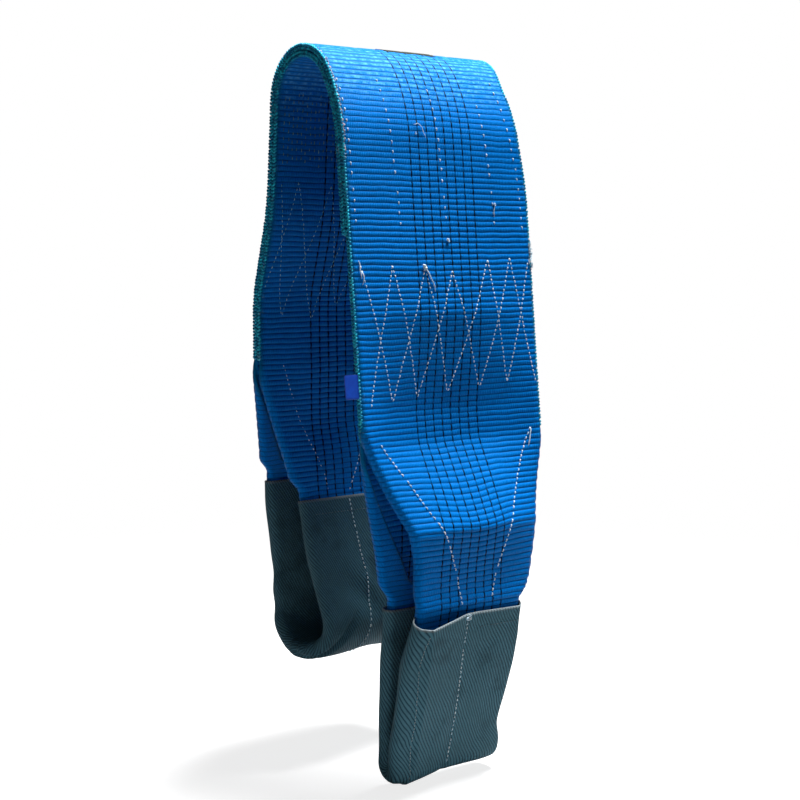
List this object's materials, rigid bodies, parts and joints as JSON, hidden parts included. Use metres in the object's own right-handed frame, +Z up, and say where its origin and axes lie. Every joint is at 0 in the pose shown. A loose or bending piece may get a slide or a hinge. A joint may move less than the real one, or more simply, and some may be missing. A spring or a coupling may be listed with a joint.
{
  "type": "flat web sling",
  "caption": "Wide two-ply flat web sling draped over a bar, with a reinforced soft eye in a fabric wear sleeve at each end.",
  "frame": {"origin": "middle of the round bar that the sling hangs over, at half the web's width", "axes": "+X across the web along the bar, +Z up, front leg on the -Y side, back leg on the +Y side"},
  "size_m": [0.2576, 0.2631, 0.7632],
  "materials": {
    "webbing": "coarse ribbed weave",
    "sleeve_twill": "coarse twill",
    "thread": "bonded sewing thread",
    "label_plastic": "smooth",
    "dark_print": "printed"
  },
  "bodies": {
    "crown": {"crown_inner_ply": "webbing", "crown_outer_ply": "webbing", "crown_print_patch": "dark_print", "crown_seam_rows": "thread", "crown_splice_stitches": "thread"},
    "front_leg": {"front_leg_inner_ply_lower": "webbing", "front_leg_inner_ply_upper": "webbing", "front_leg_outer_ply": "webbing", "front_leg_seam_rows": "thread", "front_leg_zigzag_first": "thread", "front_leg_zigzag_second": "thread"},
    "back_leg": {"back_leg_inner_ply": "webbing", "back_leg_outer_ply": "webbing", "back_leg_zigzag_first": "thread", "back_leg_zigzag_second": "thread"},
    "label": {"label_tag": "label_plastic"},
    "front_outer_strand": {"front_eye_outer_folds": "webbing", "front_eye_outer_strand": "webbing", "front_eye_outer_taper_stitches": "thread"},
    "front_inner_strand_upper": {"front_eye_inner_upper_folds": "webbing", "front_eye_inner_upper_strand": "webbing", "front_eye_inner_upper_taper_stitches": "thread"},
    "front_inner_strand_lower": {"front_eye_inner_lower_folds": "webbing", "front_eye_inner_lower_strand": "webbing", "front_eye_inner_lower_taper_stitches": "thread"},
    "front_outer_sleeve": {"front_bight_outer_folds": "webbing", "front_bight_outer_web": "webbing", "front_sleeve_outer": "sleeve_twill", "front_sleeve_outer_hem_stitch": "thread", "front_sleeve_outer_seam": "thread"},
    "front_inner_sleeve": {"front_bight_inner_folds": "webbing", "front_bight_inner_web": "webbing", "front_sleeve_inner": "sleeve_twill", "front_sleeve_inner_hem_stitch": "thread", "front_sleeve_inner_seam": "thread"},
    "back_outer_strand": {"back_eye_outer_folds": "webbing", "back_eye_outer_strand": "webbing", "back_eye_outer_taper_stitches": "thread"},
    "back_inner_strand_upper": {"back_eye_inner_upper_folds": "webbing", "back_eye_inner_upper_strand": "webbing", "back_eye_inner_upper_taper_stitches": "thread"},
    "back_inner_strand_lower": {"back_eye_inner_lower_folds": "webbing", "back_eye_inner_lower_strand": "webbing", "back_eye_inner_lower_taper_stitches": "thread"},
    "back_outer_sleeve": {"back_bight_outer_folds": "webbing", "back_bight_outer_web": "webbing", "back_sleeve_outer": "sleeve_twill", "back_sleeve_outer_hem_stitch": "thread", "back_sleeve_outer_seam": "thread"},
    "back_inner_sleeve": {"back_bight_inner_folds": "webbing", "back_bight_inner_web": "webbing", "back_sleeve_inner": "sleeve_twill", "back_sleeve_inner_hem_stitch": "thread", "back_sleeve_inner_seam": "thread"}
  },
  "joints": [
    {"name": "front_leg_swing", "type": "hinge", "parent": "crown", "child": "front_leg", "pos_m": [0, -0.0675, -0.04857], "axis": [1, 0, 0], "range_deg": [-30, 6], "stiffness_Nm_per_rad": 40},
    {"name": "back_leg_swing", "type": "hinge", "parent": "crown", "child": "back_leg", "pos_m": [0, 0.05606, -0.07498], "axis": [1, 0, 0], "range_deg": [-6, 30], "stiffness_Nm_per_rad": 40},
    {"name": "label_flap", "type": "hinge", "parent": "front_leg", "child": "label", "pos_m": [-0.1203, -0.09857, -0.28672], "axis": [0, 0.1045, 0.9945], "range_deg": [-60, 60], "stiffness_Nm_per_rad": 0.02},
    {"name": "front_eye_swing", "type": "hinge", "parent": "front_leg", "child": "front_outer_strand", "pos_m": [0, -0.09798, -0.33857], "axis": [1, 0, 0], "range_deg": [-35, 10], "stiffness_Nm_per_rad": 12},
    {"name": "front_eye_opening", "type": "hinge", "parent": "front_outer_strand", "child": "front_outer_sleeve", "pos_m": [0, -0.127, -0.516], "axis": [1, 0, 0], "range_deg": [-1, 18], "stiffness_Nm_per_rad": 8},
    {"name": "front_bight_fold", "type": "hinge", "parent": "front_outer_sleeve", "child": "front_inner_sleeve", "pos_m": [0, -0.077, -0.7], "axis": [1, 0, 0], "range_deg": [-22.5, 1.4], "stiffness_Nm_per_rad": 3},
    {"name": "front_inner_strand_spread", "type": "hinge", "parent": "front_outer_strand", "child": "front_inner_strand_upper", "pos_m": [0, -0.09798, -0.33857], "axis": [1, 0, 0], "range_deg": [-1.5, 24], "stiffness_Nm_per_rad": 3},
    {"name": "front_inner_strand_flex", "type": "hinge", "parent": "front_inner_sleeve", "child": "front_inner_strand_lower", "pos_m": [0, -0.075, -0.513], "axis": [1, 0, 0], "range_deg": [-1.7, 28.4], "stiffness_Nm_per_rad": 3},
    {"name": "back_eye_swing", "type": "hinge", "parent": "back_leg", "child": "back_outer_strand", "pos_m": [0, 0.08751, -0.268], "axis": [-1, 0, 0], "range_deg": [-35, 10], "stiffness_Nm_per_rad": 12},
    {"name": "back_eye_opening", "type": "hinge", "parent": "back_outer_strand", "child": "back_outer_sleeve", "pos_m": [0, 0.126, -0.402], "axis": [-1, 0, 0], "range_deg": [-4, 9], "stiffness_Nm_per_rad": 8},
    {"name": "back_bight_fold", "type": "hinge", "parent": "back_outer_sleeve", "child": "back_inner_sleeve", "pos_m": [0, 0.075, -0.6], "axis": [-1, 0, 0], "range_deg": [-12.6, 5.7], "stiffness_Nm_per_rad": 3},
    {"name": "back_inner_strand_spread", "type": "hinge", "parent": "back_outer_strand", "child": "back_inner_strand_upper", "pos_m": [0, 0.08751, -0.268], "axis": [-1, 0, 0], "range_deg": [-7.3, 16.2], "stiffness_Nm_per_rad": 3},
    {"name": "back_inner_strand_flex", "type": "hinge", "parent": "back_inner_sleeve", "child": "back_inner_strand_lower", "pos_m": [0, 0.069, -0.418], "axis": [-1, 0, 0], "range_deg": [-8.8, 19.6], "stiffness_Nm_per_rad": 3}
  ],
  "couplings": [
    {"joint": "front_bight_fold", "follows": "front_eye_opening", "ratio": -1.243},
    {"joint": "front_inner_strand_spread", "follows": "front_eye_opening", "ratio": 1.326},
    {"joint": "front_inner_strand_flex", "follows": "front_eye_opening", "ratio": 1.569},
    {"joint": "back_bight_fold", "follows": "back_eye_opening", "ratio": -1.382},
    {"joint": "back_inner_strand_spread", "follows": "back_eye_opening", "ratio": 1.783},
    {"joint": "back_inner_strand_flex", "follows": "back_eye_opening", "ratio": 2.165}
  ]
}
